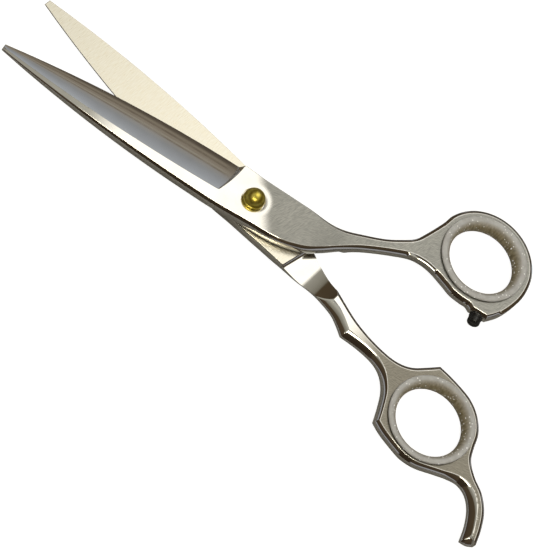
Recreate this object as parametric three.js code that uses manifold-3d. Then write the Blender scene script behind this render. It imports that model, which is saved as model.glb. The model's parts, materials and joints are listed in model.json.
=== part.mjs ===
// Hair cutting shears: two forged halves on one pivot, with ring inserts, a bumper and an adjustable nut.
//
// Millimetres, +Z up. The origin is on the pivot axis, at the back face of the tension nut.
// The blades point along -X and the finger rings along +X; the show side faces +Z.
// Each half is drawn closed, in its own half frame, with its blade along -X, and is then turned about the
// pivot by half of the opening angle.

import * as THREE from "three";
import { mergeVertices } from "three/addons/utils/BufferGeometryUtils.js";
import Module from "manifold-3d";

const wasm = await Module();
wasm.setup();

// ---------------------------------------------------------------- driving dimensions

const OPENING = THREE.MathUtils.degToRad(14.8); // angle between the blades in the modelled pose

const BLADE_REACH = 77; // pivot axis to blade tip
const ROOT_REACH = 8; // pivot axis to the widest place of the blade
const ROOT_HALF_WIDTH = 7.7;
const TIP_HALF_WIDTH = 1.05;
const BLADE_TAPER = 2.0; // exponent of the willow-leaf outline
const PLATE_THICKNESS = 3.0;
const EDGE_THICKNESS = 0.35; // left by the grinding at the cutting edge
const LAND_AT_ROOT = 4.4; // flat strip between the ground face and the spine
const LAND_AT_TIP = 0.8;
const LAND_SLOPE = 0.14; // of the convex ground face where it leaves the land
const GRIND_END = -6.4; // where the ground face stops, at the cutting edge
const GRIND_SKEW = 0.27; // the end line leans by this much per millimetre across the blade
const RUN_OUT = { atLand: 0.25, atEdge: 1.35 }; // length of the slope that ends the ground face

const PLATE_BACK = 1.0; // back face of the finger plate, above the nut's back face
const RIDE_GAP = 0.3; // between the two plates, taken up by the glide washer
const HANDLE_THICKNESS = 4.0;
const HANDLE_RIM = 1.4; // edge rounding of shanks and rings
const PLATE_RIM = 0.8; // edge rounding of the plates' outer faces
const BEND_START = 14; // the plates thin down from here to the handle's face
const BEND_END = 30;
const STEP = { rideEnd: 18.7, lean: 0.19, facet: 0.9, depth: 0.75, start: 18.9, end: 33.6, power: 3 };

const RING_BORE = 11.0; // radius of the hole in each metal ring
const BORE_RIM = 0.3;
const THUMB_RING = { x: 62.6, y: 23.8, radius: 14.8, flange: 12.7, hole: 9.7 };
const FINGER_RING = { x: 74.0, y: -8.7, radius: 13.7, flange: 12.3, hole: 9.6 };
const FLANGE_THICKNESS = 0.7;
const WALL_BULGE = 1.2; // of an insert's inner wall, from its mouth to its narrowest place
const WALL_STEPS = 8;
const FIT = 0.15; // clearance between pieces that touch

const BUMPER = { x: 68.1, lugEnd: 8.2, tip: 5.45, radius: 2.0, hollow: 2.0, edge: 0.2, nose: 0.9 };
const BUMPER_STUD = { radius: 0.6, socketDepth: 3.2 };

const HEAD_RADIUS = 3.1;
const HEAD_RECESS = 0.6;
const HEAD_RIM_HEIGHT = 0.7;
const HEAD_DOME_HEIGHT = 2.5;
const NECK_RADIUS = 2.1;
const NECK_FLAT = 1.6; // pivot axis to the flat that keys the stud in the thumb half
const SHANK_RADIUS = 1.45;
const NUT_RADIUS = 4.2;
const NUT_HEIGHT = 1.7;
const NUT_FLOOR = 0.5;
const NUT_NOTCHES = 12;
const NUT_CHAMFER = 0.3;
const NOTCH = { radius: 0.35, height: 0.8 }; // grooves up the nut's rim, for fingertips
const PIN_HOLE_RADIUS = 0.5;
const PIN_HOLE_PITCH = 2.6; // pivot axis to each spanner hole
const WASHER_RADIUS = 3.9;
const FLAT_WASHER_HEIGHT = 0.3;
const SPRING_GAUGE = 0.25;
const SPRING_WAVE = 0.15;
const SPRING_WAVES = 3;
const BUSH_RADIUS = 2.6;
const GLIDE_RADIUS = 4.9;
const GLIDE_RECESS = 0.4;
const PLAY = 0.05; // clearance above and below the thin pieces in the pivot

// ---------------------------------------------------------------- levels worked out from them

const FINGER_RIDE = PLATE_BACK + PLATE_THICKNESS;
const THUMB_RIDE = FINGER_RIDE + RIDE_GAP;
const THUMB_FRONT = THUMB_RIDE + PLATE_THICKNESS;
const MIDDLE = (FINGER_RIDE + THUMB_RIDE) / 2;
const HANDLE_BACK = MIDDLE - HANDLE_THICKNESS / 2;
const HANDLE_FRONT = MIDDLE + HANDLE_THICKNESS / 2;
const HEAD_SEAT = THUMB_FRONT - HEAD_RECESS;
const STEP_FLOOR = FINGER_RIDE - STEP.depth;
const FLAT_WASHER_BACK = NUT_HEIGHT + PLAY;
const SPRING_BACK = FLAT_WASHER_BACK + FLAT_WASHER_HEIGHT + PLAY;
const COUNTERBORE_FLOOR = SPRING_BACK + SPRING_GAUGE + 2 * SPRING_WAVE + PLAY;
const NECK_END = THUMB_RIDE - 2 * PLAY;
const FACE_SLOPE = (PLATE_THICKNESS - EDGE_THICKNESS) / (2 * ROOT_HALF_WIDTH - LAND_AT_ROOT);

const CAD_STEP = 2.2; // spacing of outline points along the curves
const ARC_STEPS = 3; // facets in each rounded rim
const ROUND = 40; // facets round a turned piece
const SMALL_ROUND = 12; // facets round a small hole or groove
const SLIVER = 0.01; // cut bodies lose edges shorter than this
const ABOVE = 20; // cutters reach this far past the material

// ---------------------------------------------------------------- helpers

const at = (x, y) => new THREE.Vector2(x, y);

/** Points along the smooth curve through the given ones, without the last. */
function curveThrough(points) {
  const curve = new THREE.SplineCurve(points);
  const spans = Math.max(1, Math.round(curve.getLength() / CAD_STEP));
  return curve.getSpacedPoints(spans).slice(0, -1);
}

/** A closed outline made of smooth runs that meet at sharp corners. */
function outlineOf(runs) {
  return runs.flatMap((run, i) => curveThrough([...run, runs[(i + 1) % runs.length][0]]));
}

function circlePoints(x, y, radius, fromDegrees, toDegrees, steps) {
  return Array.from({ length: steps + 1 }, (_, i) => {
    const angle = THREE.MathUtils.degToRad(fromDegrees + ((toDegrees - fromDegrees) * i) / steps);
    return at(x + radius * Math.cos(angle), y + radius * Math.sin(angle));
  });
}

/** The loop moved towards its left side, where the material is. */
function inset(loop, distance) {
  return loop.map((point, i) => {
    const before = loop[(i + loop.length - 1) % loop.length];
    const after = loop[(i + 1) % loop.length];
    const along = point.clone().sub(before).normalize();
    const onward = after.clone().sub(point).normalize();
    const left = at(-(along.y + onward.y), along.x + onward.x);
    const spread = Math.max(0.5, left.lengthSq() / 2);
    return point.clone().addScaledVector(left, distance / spread);
  });
}

/** Inset and level of each step from the bottom face, round its rim, up the wall to the top face. */
function wallProfile(bottom, top, bottomRim, topRim) {
  const steps = [];
  for (let i = 0; i <= ARC_STEPS; i += 1) {
    const angle = (Math.PI / 2) * (i / ARC_STEPS);
    steps.push({ inset: bottomRim * (1 - Math.sin(angle)), z: bottom + bottomRim * (1 - Math.cos(angle)) });
  }
  for (let i = ARC_STEPS; i >= 0; i -= 1) {
    const angle = (Math.PI / 2) * (i / ARC_STEPS);
    steps.push({ inset: topRim * (1 - Math.sin(angle)), z: top - topRim * (1 - Math.cos(angle)) });
  }
  return steps.filter((step, i) => i === 0 || step.z > steps[i - 1].z + 1e-6);
}

/** A flat body between two levels, with rounded rims. Holes run clockwise. */
function slab(outline, holes, bottom, top, bottomRim, topRim) {
  const positions = [];
  const faces = [];
  const caps = { bottom: [], top: [] };
  const loops = [
    { points: outline, profile: wallProfile(bottom, top, bottomRim, topRim) },
    ...holes.map((points) => ({ points, profile: wallProfile(bottom, top, BORE_RIM, BORE_RIM) })),
  ];
  for (const { points, profile } of loops) {
    const first = positions.length / 3;
    const count = points.length;
    const rings = profile.map((step) => inset(points, step.inset));
    rings.forEach((ring, k) => ring.forEach((p) => positions.push(p.x, p.y, profile[k].z)));
    for (let k = 0; k + 1 < rings.length; k += 1) {
      for (let i = 0; i < count; i += 1) {
        const a = first + k * count + i;
        const b = first + k * count + ((i + 1) % count);
        faces.push(a, b, b + count, a, b + count, a + count);
      }
    }
    caps.bottom.push({ ring: rings[0], first });
    caps.top.push({ ring: rings.at(-1), first: first + (rings.length - 1) * count });
  }
  for (const [side, rings] of Object.entries(caps)) {
    const index = rings.flatMap(({ ring, first }) => ring.map((_, i) => first + i));
    const triangles = THREE.ShapeUtils.triangulateShape(rings[0].ring, rings.slice(1).map((r) => r.ring));
    for (const [a, b, c] of triangles) {
      faces.push(...(side === "top" ? [a, b, c] : [a, c, b]).map((i) => index[i]));
    }
  }
  const geometry = new THREE.BufferGeometry();
  geometry.setAttribute("position", new THREE.Float32BufferAttribute(positions, 3));
  geometry.setIndex(faces);
  return geometry;
}

/** A closed body through equal rings of points, each anticlockwise as the last ring's side sees it. */
function loft(rings) {
  const count = rings[0].length;
  const positions = rings.flat().flatMap((p) => [p.x, p.y, p.z]);
  const faces = [];
  for (let k = 0; k + 1 < rings.length; k += 1) {
    for (let i = 0; i < count; i += 1) {
      const a = k * count + i;
      const b = k * count + ((i + 1) % count);
      faces.push(a, b, b + count, a, b + count, a + count);
    }
  }
  const last = (rings.length - 1) * count;
  for (let i = 1; i + 1 < count; i += 1) {
    faces.push(0, i + 1, i, last, last + i, last + i + 1);
  }
  const geometry = new THREE.BufferGeometry();
  geometry.setAttribute("position", new THREE.Float32BufferAttribute(positions, 3));
  geometry.setIndex(faces);
  return geometry;
}

/** A body turned about the Z axis from [radius, level] pairs that run upwards on its outside. */
function turned(profile) {
  const points = profile.map(([radius, z]) => at(radius, z));
  return new THREE.LatheGeometry(points, ROUND).rotateX(Math.PI / 2);
}

function cylinder(radius, bottom, top, x = 0, y = 0) {
  return turned([[0, bottom], [radius, bottom], [radius, top], [0, top]]).translate(x, y, 0);
}

/** Moves each vertex up or down by the given rule. */
function relevel(geometry, rule) {
  const position = geometry.attributes.position;
  for (let i = 0; i < position.count; i += 1) {
    position.setZ(i, rule(position.getX(i), position.getZ(i)));
  }
  return geometry;
}

function solid(geometry) {
  const bare = geometry.clone();
  bare.deleteAttribute("normal");
  bare.deleteAttribute("uv");
  const merged = mergeVertices(bare, 1e-4);
  const corners = merged.index.array;
  const kept = [];
  for (let i = 0; i < corners.length; i += 3) {
    const [a, b, c] = corners.slice(i, i + 3);
    if (a !== b && b !== c && c !== a) kept.push(a, b, c);
  }
  const vertProperties = merged.attributes.position.array;
  return new wasm.Manifold(new wasm.Mesh({ numProp: 3, vertProperties, triVerts: new Uint32Array(kept) }));
}

function surface(body) {
  const mesh = body.simplify(SLIVER).getMesh();
  const geometry = new THREE.BufferGeometry();
  geometry.setAttribute("position", new THREE.BufferAttribute(mesh.vertProperties, 3));
  geometry.setIndex(new THREE.BufferAttribute(mesh.triVerts, 1));
  geometry.computeVertexNormals();
  return geometry;
}

// ---------------------------------------------------------------- materials

const steel = () => new THREE.MeshStandardMaterial({ color: 0xc9c8c4, roughness: 0.18, metalness: 1 });
const brass = () => new THREE.MeshStandardMaterial({ color: 0xa08a30, roughness: 0.25, metalness: 1 });
const springSteel = () => new THREE.MeshStandardMaterial({ color: 0x8f9296, roughness: 0.35, metalness: 1 });
const nylon = () => new THREE.MeshStandardMaterial({ color: 0xe8e6de, roughness: 0.6, metalness: 0 });
const silicone = () => new THREE.MeshStandardMaterial({ color: 0xd8d6d4, roughness: 0.3, metalness: 0 });
const rubber = () => new THREE.MeshStandardMaterial({ color: 0x17181a, roughness: 0.6, metalness: 0 });

function piece(name, geometry, material) {
  const mesh = new THREE.Mesh(geometry, material);
  mesh.name = name;
  return mesh;
}

// ---------------------------------------------------------------- blades

/** Distance from the blade's middle line to either edge, x millimetres along it. */
function bladeHalfWidth(x) {
  const along = Math.max(0, (-x - ROOT_REACH) / (BLADE_REACH - ROOT_REACH));
  return ROOT_HALF_WIDTH - (ROOT_HALF_WIDTH - TIP_HALF_WIDTH) * along ** BLADE_TAPER;
}

/** Width of the flat strip along the spine. */
function landWidth(x) {
  return THREE.MathUtils.mapLinear(x, -BLADE_REACH, -ROOT_REACH, LAND_AT_TIP, LAND_AT_ROOT);
}

/** The ground face falls at the same mean slope all along the blade, so a narrower blade is thinner. */
function plateThickness(x) {
  const station = Math.min(x, -ROOT_REACH);
  const groundWidth = 2 * bladeHalfWidth(station) - landWidth(station);
  const throughBend = THREE.MathUtils.smoothstep(x, BEND_START, BEND_END);
  const thinned = HANDLE_FRONT - THUMB_RIDE - PLAY;
  return THREE.MathUtils.lerp(EDGE_THICKNESS + FACE_SLOPE * groundWidth, thinned, throughBend);
}

/** One edge of the blade, from the root to the tip, on the side given by +1 or -1. */
function bladeEdge(side) {
  const stations = [ROOT_REACH, 16, 26, 36, 46, 55, 63, 70, BLADE_REACH];
  return stations.map((reach) => at(-reach, side * bladeHalfWidth(-reach)));
}

/** Length of the slope that ends the ground face, y millimetres across the blade's root. */
function runOut(y) {
  const landEdge = LAND_AT_ROOT - ROOT_HALF_WIDTH;
  const share = THREE.MathUtils.clamp((y - landEdge) / (ROOT_HALF_WIDTH - landEdge), 0, 1);
  return THREE.MathUtils.lerp(RUN_OUT.atLand, RUN_OUT.atEdge, share);
}

/** What grinding takes from the thumb blade's outer face: all above a convex face that falls to the edge. */
function bladeGrind() {
  const facePoints = 6;
  const past = 2; // the cutter reaches this far past the edge and the tip
  const section = (station, depth, endSlope = 0) => {
    const edge = bladeHalfWidth(station);
    const land = landWidth(station);
    const top = THUMB_RIDE + plateThickness(station);
    const width = 2 * edge - land;
    const points = [at(edge + past, THUMB_RIDE + EDGE_THICKNESS)];
    for (let i = 0; i <= facePoints; i += 1) {
      const fromLand = width * (1 - i / facePoints);
      const slope = THREE.MathUtils.lerp(LAND_SLOPE, FACE_SLOPE, fromLand / width);
      points.push(at(fromLand + land - edge, top - slope * fromLand));
    }
    points.push(at(land - edge - SLIVER, ABOVE), at(edge + past, ABOVE));
    return points.reverse().map(({ x: y, y: z }) => {
      const x = station + GRIND_SKEW * (y - ROOT_HALF_WIDTH) - endSlope * runOut(y);
      return new THREE.Vector3(x, y, z >= top ? z : THREE.MathUtils.lerp(top + 2 * SLIVER, z, depth));
    });
  };
  const stations = [-BLADE_REACH - past, -70, -60, -50, -40, -30, -20];
  const rings = stations.map((station) => section(station, 1));
  rings.push(section(GRIND_END, 1, 1), section(GRIND_END, 0));
  return loft(rings);
}

/** The same body on the other half: turned over about the line along the blades between the plates. */
const turnedOver = (geometry) => geometry.rotateX(Math.PI).translate(0, 0, 2 * MIDDLE);

// ---------------------------------------------------------------- outlines in the half frames

/** Lower and upper border of the thumb half, from the blade's spine round the ring to its edge. */
function thumbOutline() {
  const ring = THUMB_RING;
  const lower = [
    at(2, -7.2), at(7, -7.1), at(11, -6.7), at(15, -5.7), at(19, -4.1), at(23, -1.3), at(27, 2.1),
    at(31, 5.2), at(35, 7.6), at(40, 10.2), at(44.5, 12.2), at(48, 12.7), at(51.5, 12.2),
    ...circlePoints(ring.x, ring.y, ring.radius, -118, -90, 2), at(64.2, 9.0),
  ];
  const lugRight = [at(70.8, BUMPER.lugEnd), at(73.5, 11.4), at(75.5, 15.2), at(76.9, 19.2)];
  const round = circlePoints(ring.x, ring.y, ring.radius, -3, 168, 11);
  const upper = [at(45.2, 20.8), at(43.3, 17.7), at(40.2, 15.2), at(36, 12.5), at(30.5, 10.0), at(25.5, 8.0)];
  const plate = [at(21, 7.1), at(15, 7.1), at(7, 7.2), at(0, 7.3)];
  return outlineOf([
    [...bladeEdge(-1).reverse(), ...lower],
    [at(65.6, BUMPER.lugEnd)],
    [...lugRight, ...round, ...upper, ...plate, ...bladeEdge(1).slice(0, -1)],
    [at(-BLADE_REACH, TIP_HALF_WIDTH)],
  ]);
}

/** Border of the finger half, from the blade's edge round knuckle, ring and tang to its spine. */
function fingerOutline() {
  const ring = FINGER_RING;
  const below = [
    at(0, -7.1), at(7, -6.7), at(13, -6.3), at(18, -6.1), at(23, -6.2), at(28, -5.9), at(32, -6.0),
    at(36, -6.5), at(39, -7.7),
  ];
  const knuckle = at(41.8, -9.2);
  const beyond = [
    at(46, -8.4), at(50, -8.0), at(53.5, -8.2), at(56.6, -9.5), at(59.4, -12.2), at(61.6, -16.2),
  ];
  const lowerPoint = at(63.5, -20.5);
  const underRing = [at(67.2, -21.6), ...circlePoints(ring.x, ring.y, ring.radius, -92, -62, 3)];
  const tangInside = [
    at(84.6, -18.4), at(87.4, -16.9), at(90.4, -15.9), at(93.6, -16.5), at(96.5, -18.9), at(98.9, -22.9),
  ];
  const tangEnd = [at(100.5, -27.3), at(102.6, -26.7)];
  const tangCorner = at(104.2, -25.4);
  const tangOutside = [at(102.7, -21.2), at(100.2, -16.7), at(96.6, -13.4), at(92.4, -11.4), at(89, -8.8)];
  const overRing = [at(87.3, -5.6), ...circlePoints(ring.x, ring.y, ring.radius, 30, 88, 4), at(70, 5.2)];
  const upperPoint = at(66.1, 5.1);
  const above = [
    at(63.6, 1.8), at(61, -1.2), at(58, -3.0), at(54, -3.9), at(48, -4.0), at(42, -3.3), at(36, -1.7),
    at(30, 0.2), at(26, 1.8), at(22, 3.5), at(18, 5.1), at(14, 6.3), at(10, 6.9), at(5, 7.2), at(0, 7.3),
  ];
  return outlineOf([
    [...bladeEdge(-1).reverse(), ...below],
    [knuckle, ...beyond],
    [lowerPoint, ...underRing, ...tangInside],
    tangEnd,
    [tangCorner, ...tangOutside, ...overRing],
    [upperPoint, ...above, ...bladeEdge(1).slice(0, -1)],
    [at(-BLADE_REACH, TIP_HALF_WIDTH)],
  ]);
}

// ---------------------------------------------------------------- the two halves

const HANDLE_START = 12; // inside the plate, where the handle's own body begins
const PLATE_STOP = 34; // inside the shank, where the plate's own body ends

const ringBore = (ring) => circlePoints(ring.x, ring.y, RING_BORE, 360, 0, ROUND).slice(0, -1);

/** A half before its own features: plate and blade, joined to the thicker handle behind the shoulder. */
function forgedHalf(outline, ring, ride, front, rims, shoulder) {
  const plateOutline = outline.filter((point) => point.x < PLATE_STOP);
  const plate = slab(plateOutline, [], Math.min(ride, front), Math.max(ride, front), rims.back, rims.front);
  relevel(plate, (x, z) => ride + ((z - ride) * plateThickness(x)) / PLATE_THICKNESS);
  const handleOutline = outline.filter((point) => point.x > HANDLE_START);
  const handle = slab(handleOutline, [ringBore(ring)], HANDLE_BACK, HANDLE_FRONT, HANDLE_RIM, HANDLE_RIM);
  return solid(plate).add(solid(handle).subtract(solid(shoulder)));
}

/** Room for the other half: everything on its side of the ride face, up to a sloping shoulder. */
function shoulderCutter(line, side, ride, slope) {
  const far = ride + side * (HANDLE_THICKNESS / 2 + 1);
  const foot = [at(-ABOVE, line[0].y), ...line, at(-ABOVE, line.at(-1).y)];
  const crest = foot.map((p, i) => (i === 0 || i === foot.length - 1 ? p : p.clone().add(slope)));
  const ring = (loop, z) => loop.map((p) => new THREE.Vector3(p.x, p.y, z));
  return loft(side > 0 ? [ring(foot, ride), ring(crest, far)] : [ring(crest, far), ring(foot, ride)]);
}

/** Room over the finger half's shank: a short facet down from the ride face, then a long hollow climb. */
function climbCutter() {
  const facetPoints = 3;
  const climbPoints = 12;
  const firstClimb = 22; // clear of the facet all across the shank
  const acrossShank = 8.5;
  const level = (x) => {
    const climbed = Math.max(0, (x - STEP.start) / (STEP.end - STEP.start));
    return STEP_FLOOR + (HANDLE_FRONT + SLIVER - STEP_FLOOR) * climbed ** STEP.power;
  };
  const section = (y) => {
    const start = STEP.rideEnd + STEP.lean * y;
    const points = [new THREE.Vector3(start, y, ABOVE), new THREE.Vector3(start, y, FINGER_RIDE)];
    for (let i = 1; i <= facetPoints; i += 1) {
      const x = start + (STEP.facet * i) / facetPoints;
      points.push(new THREE.Vector3(x, y, level(x) + STEP.depth * (1 - i / facetPoints) ** 1.6));
    }
    for (let i = 0; i <= climbPoints; i += 1) {
      const x = THREE.MathUtils.lerp(firstClimb, STEP.end, i / climbPoints);
      points.push(new THREE.Vector3(x, y, level(x)));
    }
    points.push(new THREE.Vector3(STEP.end, y, ABOVE));
    return points;
  };
  return loft([section(acrossShank), section(-acrossShank)]);
}

/** What lies beyond the flat that keys the stud's neck, set off from it by the given clearance. */
function beyondNeckFlat(clearance) {
  const size = 4 * NECK_RADIUS;
  const block = new THREE.BoxGeometry(size, size, HEAD_SEAT - NECK_END);
  return block.translate(0, NECK_FLAT + clearance + size / 2, (HEAD_SEAT + NECK_END) / 2);
}

function thumbHalf() {
  const line = [at(38, -ABOVE), at(34, -1.0), at(10, 8.4), at(9, ABOVE)];
  const shoulder = shoulderCutter(line, -1, THUMB_RIDE, at(0.8, 1.2));
  const rims = { back: 0, front: PLATE_RIM };
  const neckFit = FIT / 2;
  const keyedBore = solid(cylinder(NECK_RADIUS + neckFit, 0, ABOVE)).subtract(solid(beyondNeckFlat(neckFit)));
  const socketRadius = BUMPER_STUD.radius + FIT;
  const socketReach = 2 * BUMPER_STUD.socketDepth;
  const socket = new THREE.CylinderGeometry(socketRadius, socketRadius, socketReach, SMALL_ROUND);
  socket.translate(BUMPER.x, BUMPER.lugEnd, MIDDLE);
  return forgedHalf(thumbOutline(), THUMB_RING, THUMB_RIDE, THUMB_FRONT, rims, shoulder)
    .subtract(solid(bladeGrind()))
    .subtract(keyedBore)
    .subtract(solid(cylinder(HEAD_RADIUS + FIT, HEAD_SEAT, ABOVE)))
    .subtract(solid(cylinder(GLIDE_RADIUS + FIT, 0, THUMB_RIDE + GLIDE_RECESS)))
    .subtract(solid(socket));
}

function fingerHalf() {
  const inFacet = STEP.rideEnd + STEP.facet / 4;
  const line = [-ABOVE, ABOVE].map((y) => at(inFacet + STEP.lean * y, y));
  const shoulder = shoulderCutter(line, 1, FINGER_RIDE, at(0, 0));
  const rims = { back: PLATE_RIM, front: 0 };
  return forgedHalf(fingerOutline(), FINGER_RING, FINGER_RIDE, PLATE_BACK, rims, shoulder)
    .subtract(solid(climbCutter()))
    .subtract(solid(turnedOver(bladeGrind())))
    .subtract(solid(cylinder(BUSH_RADIUS + FIT / 2, 0, ABOVE)))
    .subtract(solid(cylinder(NUT_RADIUS + FIT, -1, COUNTERBORE_FLOOR)));
}

// ---------------------------------------------------------------- pivot

function pivotStud() {
  const domeBase = THUMB_FRONT + HEAD_RIM_HEIGHT;
  const dome = Array.from({ length: 7 }, (_, i) => {
    const angle = (Math.PI / 2) * (i / 6);
    return [HEAD_RADIUS * Math.cos(angle), domeBase + HEAD_DOME_HEIGHT * Math.sin(angle)];
  });
  dome.at(-1)[0] = 0;
  const shankEnd = NUT_FLOOR + 2 * PLAY;
  const seat = HEAD_SEAT + PLAY;
  const body = turned([
    [0, shankEnd], [SHANK_RADIUS, shankEnd], [SHANK_RADIUS, NECK_END], [NECK_RADIUS, NECK_END],
    [NECK_RADIUS, seat], [HEAD_RADIUS, seat], ...dome,
  ]);
  return solid(body).subtract(solid(beyondNeckFlat(0)));
}

function ringWasher(inner, outer, bottom, top) {
  return turned([[inner, bottom], [outer, bottom], [outer, top], [inner, top], [inner, bottom]]);
}

function glideWasher() {
  return ringWasher(NECK_RADIUS + FIT, GLIDE_RADIUS, FINGER_RIDE + PLAY, THUMB_RIDE + GLIDE_RECESS - PLAY);
}

function pivotBush() {
  return ringWasher(SHANK_RADIUS + FIT, BUSH_RADIUS, COUNTERBORE_FLOOR, FINGER_RIDE);
}

function flatWasher() {
  const front = FLAT_WASHER_BACK + FLAT_WASHER_HEIGHT;
  return ringWasher(SHANK_RADIUS + FIT, WASHER_RADIUS, FLAT_WASHER_BACK, front);
}

/** A wave washer: a flat ring whose face rises and falls round the axis. */
function springWasher() {
  const washer = ringWasher(SHANK_RADIUS + 2 * FIT, WASHER_RADIUS, SPRING_BACK, SPRING_BACK + SPRING_GAUGE);
  const position = washer.attributes.position;
  for (let i = 0; i < position.count; i += 1) {
    const angle = Math.atan2(position.getY(i), position.getX(i));
    position.setZ(i, position.getZ(i) + SPRING_WAVE * (1 + Math.cos(SPRING_WAVES * angle)));
  }
  return washer;
}

/** The blind nut on the back: notched rim, and two holes for a spanner. */
function tensionNut() {
  const bore = SHANK_RADIUS + FIT;
  let nut = solid(turned([
    [0, 0], [NUT_RADIUS - NUT_CHAMFER, 0], [NUT_RADIUS, NUT_CHAMFER], [NUT_RADIUS, NUT_HEIGHT],
    [bore, NUT_HEIGHT], [bore, NUT_FLOOR], [0, NUT_FLOOR],
  ]));
  const upright = (radius, reach) => {
    return new THREE.CylinderGeometry(radius, radius, 2 * reach, SMALL_ROUND).rotateX(Math.PI / 2);
  };
  for (const side of [-1, 1]) {
    nut = nut.subtract(solid(upright(PIN_HOLE_RADIUS, NUT_HEIGHT / 2).translate(side * PIN_HOLE_PITCH, 0, 0)));
  }
  for (let i = 0; i < NUT_NOTCHES; i += 1) {
    const notch = upright(NOTCH.radius, NOTCH.height).translate(NUT_RADIUS + NOTCH.radius / 3, 0, 0);
    nut = nut.subtract(solid(notch.rotateZ((2 * Math.PI * (i + 0.5)) / NUT_NOTCHES)));
  }
  return nut;
}

// ---------------------------------------------------------------- inserts and bumper

/** A moulded grommet that grips the metal ring between two rounded flanges, with a bulging inner wall. */
function ringInsert(ring) {
  const waist = RING_BORE - FIT;
  const back = HANDLE_BACK - FIT;
  const front = HANDLE_FRONT + FIT;
  const round = FLANGE_THICKNESS / 2;
  const wall = Array.from({ length: WALL_STEPS + 1 }, (_, i) => {
    const angle = Math.PI * (0.5 - i / WALL_STEPS);
    const rise = (front + FLANGE_THICKNESS - MIDDLE) * Math.sin(angle);
    return [ring.hole + WALL_BULGE * (1 - Math.cos(angle)), MIDDLE + rise];
  });
  const profile = [
    ...wall, [ring.flange - round, back - FLANGE_THICKNESS], [ring.flange, back - round], [ring.flange, back],
    [waist, back], [waist, front], [ring.flange, front], [ring.flange, front + round],
    [ring.flange - round, front + FLANGE_THICKNESS], wall[0],
  ];
  return turned(profile).translate(ring.x, ring.y, 0);
}

/** Places a body turned about Z so that it points from the lug towards the finger ring, along -Y. */
const ontoLug = (geometry) => geometry.rotateX(Math.PI / 2).translate(BUMPER.x, BUMPER.lugEnd, MIDDLE);

function bumper() {
  const { radius, hollow, edge, nose } = BUMPER;
  const length = BUMPER.lugEnd - BUMPER.tip;
  const core = BUMPER_STUD.radius + FIT;
  const foot = 2 * PLAY;
  return ontoLug(turned([
    [core, foot], [radius - edge, foot], [radius, foot + edge], [radius, length - nose],
    [radius - nose / 3, length - nose / 3], [radius - nose, length], [0, length], [0, hollow], [core, hollow],
    [core, foot],
  ]));
}

function bumperStud() {
  return ontoLug(cylinder(BUMPER_STUD.radius, 2 * FIT - BUMPER_STUD.socketDepth, BUMPER.hollow - FIT));
}

// ---------------------------------------------------------------- assembly

const fingerGroup = new THREE.Group();
fingerGroup.rotation.z = -OPENING / 2;
fingerGroup.add(
  piece("finger_half", surface(fingerHalf()), steel()),
  piece("finger_ring_insert", ringInsert(FINGER_RING), silicone()),
  piece("pivot_bush", pivotBush(), nylon()),
  piece("glide_washer", glideWasher(), nylon()),
  piece("spring_washer", springWasher(), springSteel()),
  piece("flat_washer", flatWasher(), springSteel()),
);

const thumbGroup = new THREE.Group();
thumbGroup.rotation.z = OPENING / 2;
thumbGroup.add(
  piece("thumb_half", surface(thumbHalf()), steel()),
  piece("thumb_ring_insert", ringInsert(THUMB_RING), silicone()),
  piece("pivot_stud", surface(pivotStud()), brass()),
  piece("tension_nut", surface(tensionNut()), brass()),
  piece("bumper", bumper(), rubber()),
  piece("bumper_stud", bumperStud(), steel()),
);

const shears = new THREE.Group();
shears.add(fingerGroup, thumbGroup);

export default shears;
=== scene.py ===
import json
import math

import bmesh
import bpy
import numpy as np
from mathutils import Matrix, Vector
from mathutils.geometry import delaunay_2d_cdt


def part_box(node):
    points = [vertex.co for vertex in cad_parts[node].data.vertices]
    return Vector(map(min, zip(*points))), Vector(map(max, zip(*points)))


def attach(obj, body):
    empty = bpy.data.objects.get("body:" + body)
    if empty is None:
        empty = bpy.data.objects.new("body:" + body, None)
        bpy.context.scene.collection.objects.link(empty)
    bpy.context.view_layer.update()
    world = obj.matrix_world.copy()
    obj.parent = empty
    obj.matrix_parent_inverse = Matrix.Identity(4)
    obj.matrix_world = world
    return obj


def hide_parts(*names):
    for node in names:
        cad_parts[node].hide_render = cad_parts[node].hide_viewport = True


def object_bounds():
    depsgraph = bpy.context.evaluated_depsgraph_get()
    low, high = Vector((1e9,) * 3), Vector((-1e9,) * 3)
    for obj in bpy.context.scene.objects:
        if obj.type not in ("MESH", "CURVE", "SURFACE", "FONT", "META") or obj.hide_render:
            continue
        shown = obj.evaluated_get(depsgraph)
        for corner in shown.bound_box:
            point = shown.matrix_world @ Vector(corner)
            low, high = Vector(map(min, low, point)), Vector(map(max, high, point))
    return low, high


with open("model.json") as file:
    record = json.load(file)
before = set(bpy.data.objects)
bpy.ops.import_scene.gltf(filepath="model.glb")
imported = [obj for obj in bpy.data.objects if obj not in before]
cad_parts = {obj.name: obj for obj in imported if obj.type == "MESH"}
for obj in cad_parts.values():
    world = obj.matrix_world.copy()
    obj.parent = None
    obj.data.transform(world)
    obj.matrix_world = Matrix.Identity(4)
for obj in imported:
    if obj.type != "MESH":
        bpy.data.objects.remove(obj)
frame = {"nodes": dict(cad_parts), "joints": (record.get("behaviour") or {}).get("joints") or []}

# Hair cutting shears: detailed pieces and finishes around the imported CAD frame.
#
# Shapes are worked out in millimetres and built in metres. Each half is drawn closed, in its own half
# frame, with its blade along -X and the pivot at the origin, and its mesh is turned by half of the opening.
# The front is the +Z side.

MM = 0.001
CAD_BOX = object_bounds()


# -------- sizes read from the frame


def corners(node):
    """Lowest and highest corner of a CAD node at rest, in millimetres."""
    low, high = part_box(node)
    return low / MM, high / MM


def ring_of(node, turn):
    """A round CAD node's centre in its half frame, its outer radius, and its lowest and highest level."""
    low, high = corners(node)
    middle = Matrix.Rotation(-turn, 3, "Z") @ ((low + high) / 2)
    return {"x": middle.x, "y": middle.y, "radius": (high.x - low.x) / 2, "back": low.z, "front": high.z}


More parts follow.
